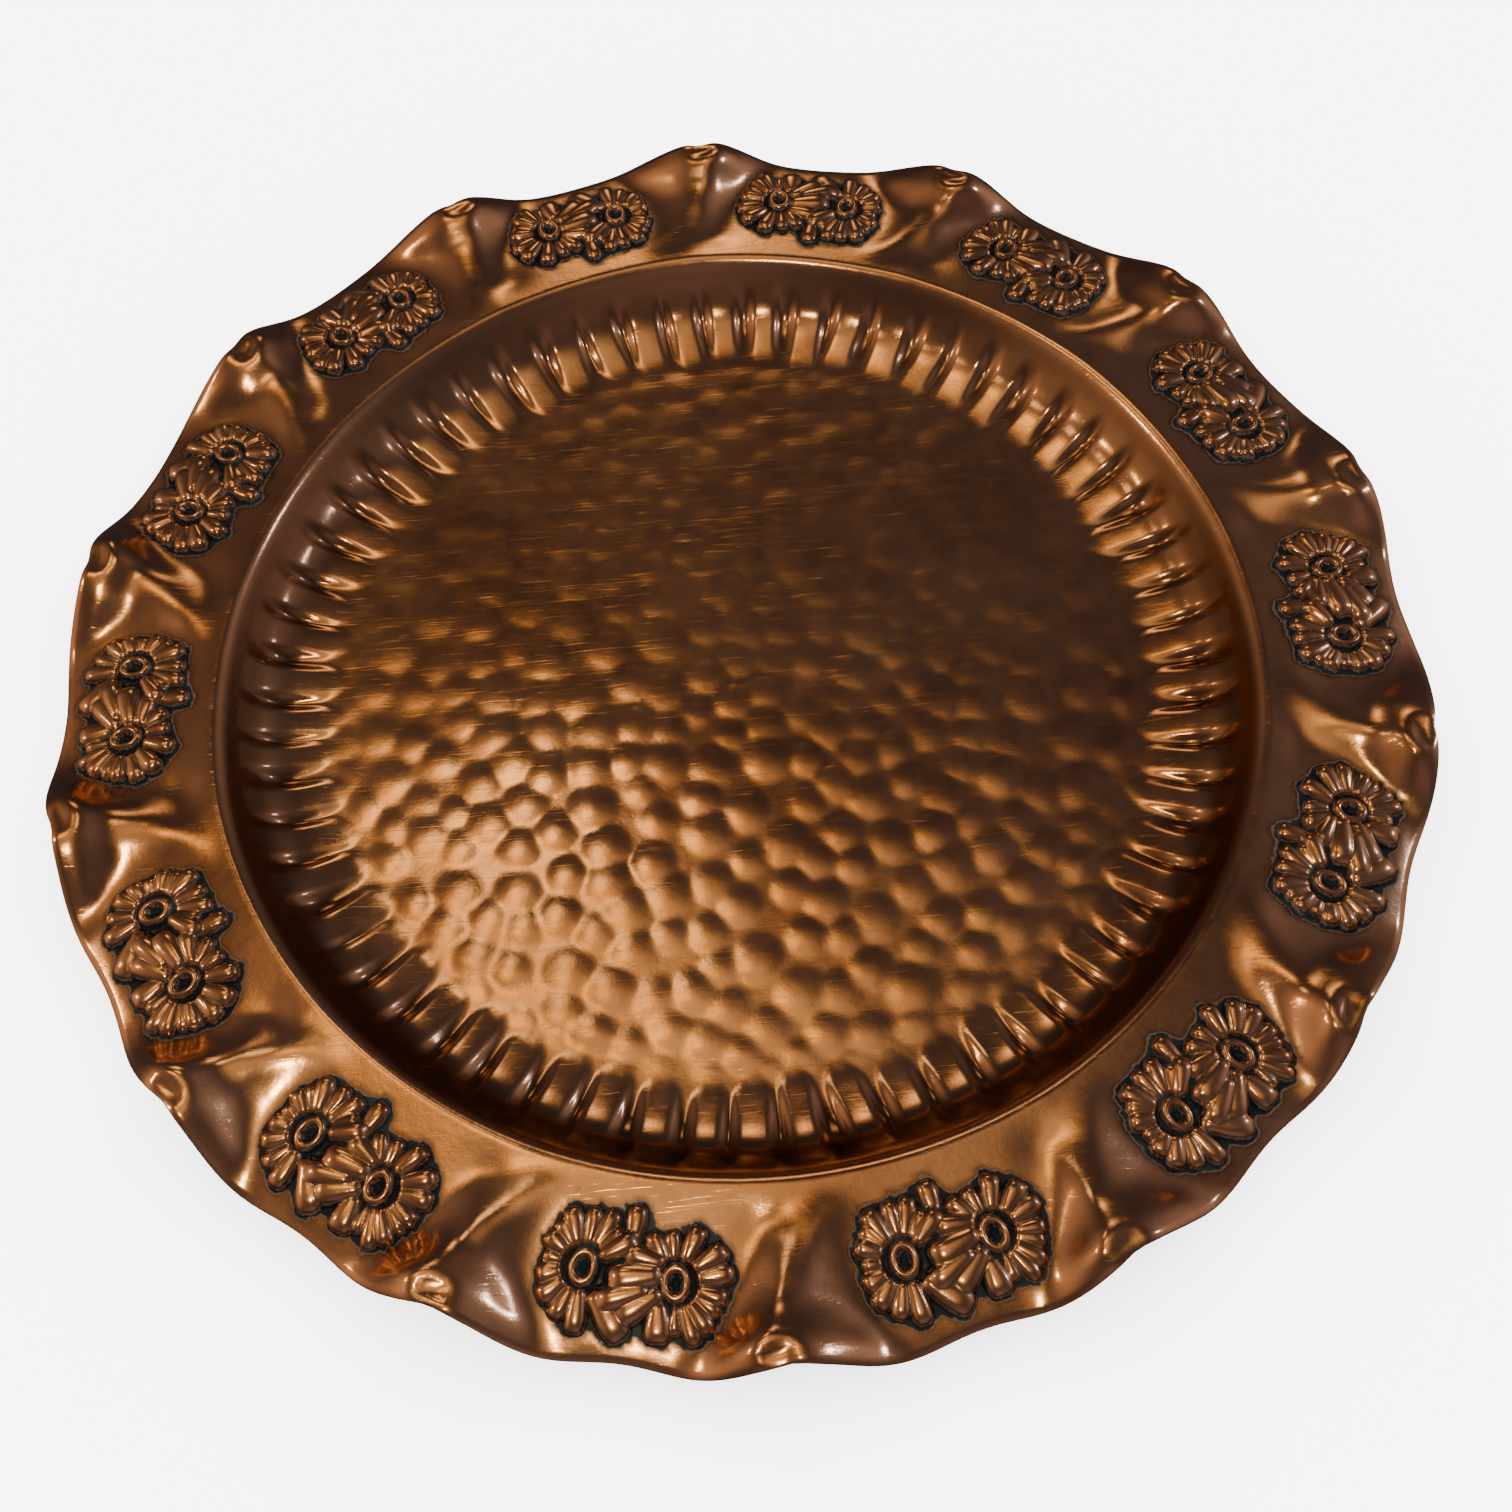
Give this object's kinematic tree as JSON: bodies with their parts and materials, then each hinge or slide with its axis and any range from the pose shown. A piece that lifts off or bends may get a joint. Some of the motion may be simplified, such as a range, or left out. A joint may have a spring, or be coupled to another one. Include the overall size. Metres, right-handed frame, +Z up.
{
  "type": "hammered copper tray",
  "caption": "Round copper tray with a hammered, fluted well and a broad ruffled rim set with raised flower sprays.",
  "frame": {"origin": "centre of the flat underside of the floor", "axes": "+Z up out of the well; +Y towards a lobe of the rim; sprays are numbered clockwise from +Y seen from above"},
  "size_m": [0.356, 0.3562, 0.0247],
  "materials": {
    "sheet_copper": "satin, darkened in the hollows",
    "spray_copper": "polished on the petals, dark patina in the recesses"
  },
  "bodies": {
    "root": {"tray_sheet": "sheet_copper", "flower_spray_01": "spray_copper", "flower_spray_02": "spray_copper", "flower_spray_03": "spray_copper", "flower_spray_04": "spray_copper", "flower_spray_05": "spray_copper", "flower_spray_06": "spray_copper", "flower_spray_07": "spray_copper", "flower_spray_08": "spray_copper", "flower_spray_09": "spray_copper", "flower_spray_10": "spray_copper", "flower_spray_11": "spray_copper", "flower_spray_12": "spray_copper", "flower_spray_13": "spray_copper", "flower_spray_14": "spray_copper"}
  },
  "joints": []
}
